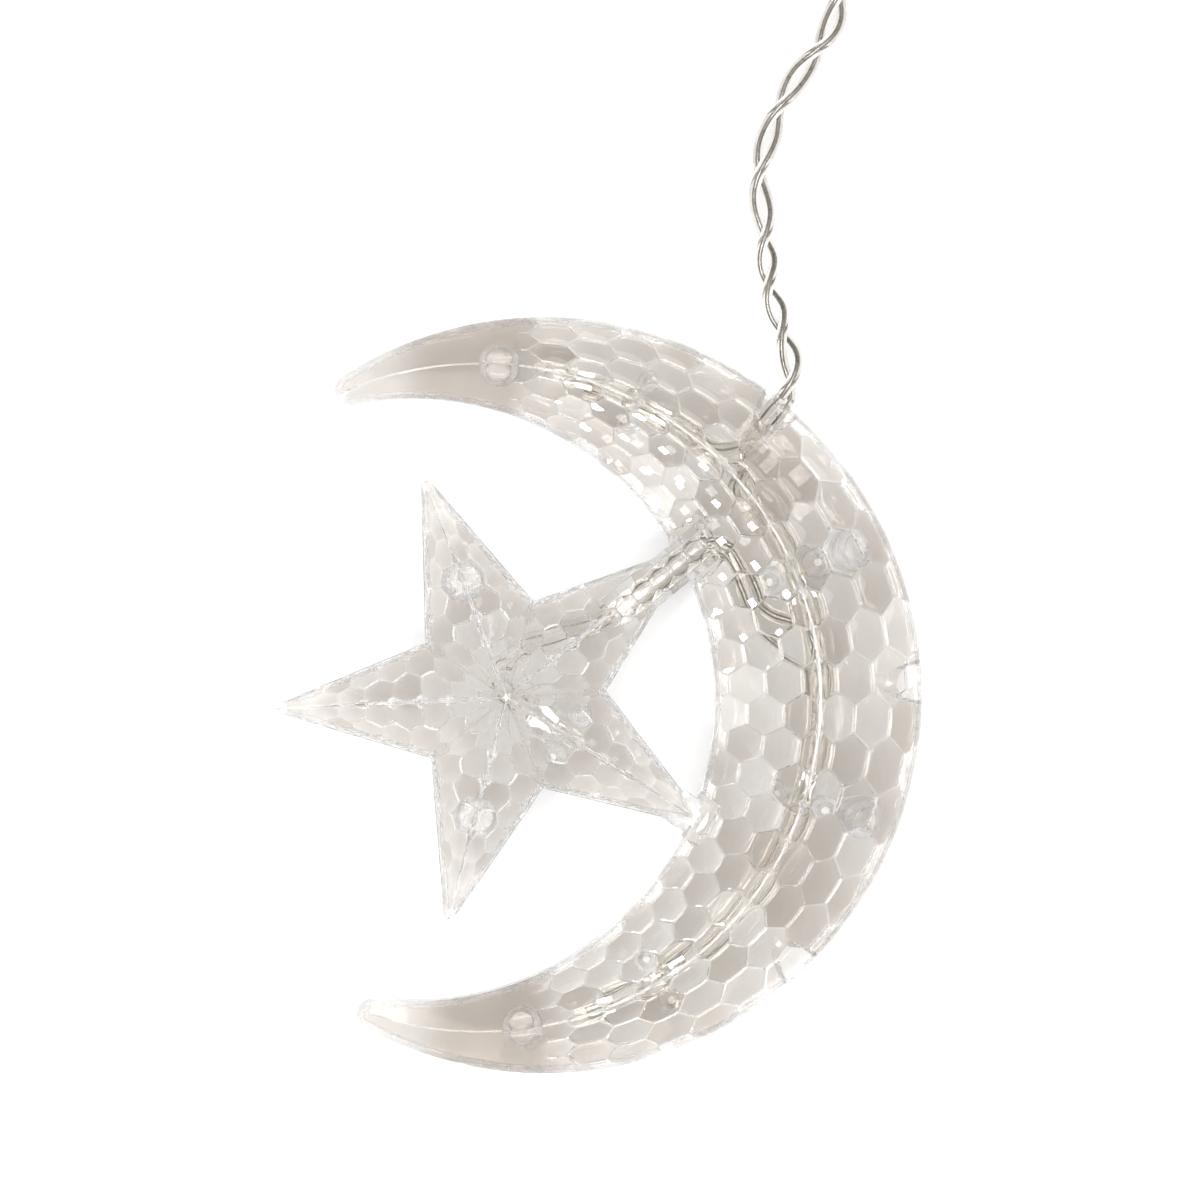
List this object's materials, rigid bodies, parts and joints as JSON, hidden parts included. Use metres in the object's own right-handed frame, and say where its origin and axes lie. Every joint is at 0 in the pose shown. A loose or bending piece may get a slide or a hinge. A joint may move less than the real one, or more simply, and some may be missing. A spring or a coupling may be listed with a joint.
{
  "type": "moon and star string lights",
  "caption": "Clear crescent moon with a joined star, moulded in two pegged halves over small lamps, on a twisted clear lead that ends in a plug with a turning collar.",
  "frame": {"origin": "bottom centre of the pendant's box, with the pendant lying on its back and the cord left out", "axes": "+Z out of the front half, +Y along the moon's height towards its upper horn, +X from the star towards the back of the moon"},
  "size_m": [0.1024, 0.2335, 0.0177],
  "materials": {
    "clear_plastic": "clear moulded styrene, polished, honeycomb relief",
    "lamp_epoxy": "clear cast epoxy",
    "phosphor": "yellow phosphor",
    "lamp_metal": "tinned steel",
    "wire_insulation": "clear soft vinyl over a tinned core",
    "sleeve_plastic": "clear sleeving",
    "tie_plastic": "white vinyl-covered wire",
    "plug_plastic": "milky moulded vinyl",
    "contact_brass": "turned brass",
    "seal_rubber": "black seal ring"
  },
  "bodies": {
    "back_half": {"back_shell": "clear_plastic", "lamp_lens_1": "lamp_epoxy", "lamp_lens_2": "lamp_epoxy", "lamp_lens_3": "lamp_epoxy", "lamp_lens_4": "lamp_epoxy", "lamp_lens_5": "lamp_epoxy", "lamp_lens_6": "lamp_epoxy", "lamp_lens_7": "lamp_epoxy", "lamp_frame_1": "lamp_metal", "lamp_frame_2": "lamp_metal", "lamp_frame_3": "lamp_metal", "lamp_frame_4": "lamp_metal", "lamp_frame_5": "lamp_metal", "lamp_frame_6": "lamp_metal", "lamp_frame_7": "lamp_metal", "lamp_phosphors": "phosphor", "bus_wire_positive": "wire_insulation", "bus_wire_negative": "wire_insulation", "star_wire_positive": "wire_insulation", "star_wire_negative": "wire_insulation", "lead_strand_positive": "wire_insulation", "lead_strand_negative": "wire_insulation", "splice_sleeves": "sleeve_plastic", "lead_anchor": "sleeve_plastic", "lead_run": "wire_insulation", "lead_coil": "wire_insulation", "coil_tie": "tie_plastic", "plug_boot": "plug_plastic", "plug_body": "plug_plastic", "plug_contacts": "contact_brass", "plug_seal": "seal_rubber"},
    "front_half": {"front_shell": "clear_plastic"},
    "collar": {"plug_collar": "plug_plastic"}
  },
  "joints": [
    {"name": "front_half_lift", "type": "slide", "parent": "back_half", "child": "front_half", "axis": [0, 0, 1], "range_m": [0, 0.03]},
    {"name": "collar_turn", "type": "hinge", "parent": "back_half", "child": "collar", "pos_m": [-0.03, 0.1675, 0.0061], "axis": [-1, 0, 0], "continuous": true}
  ]
}
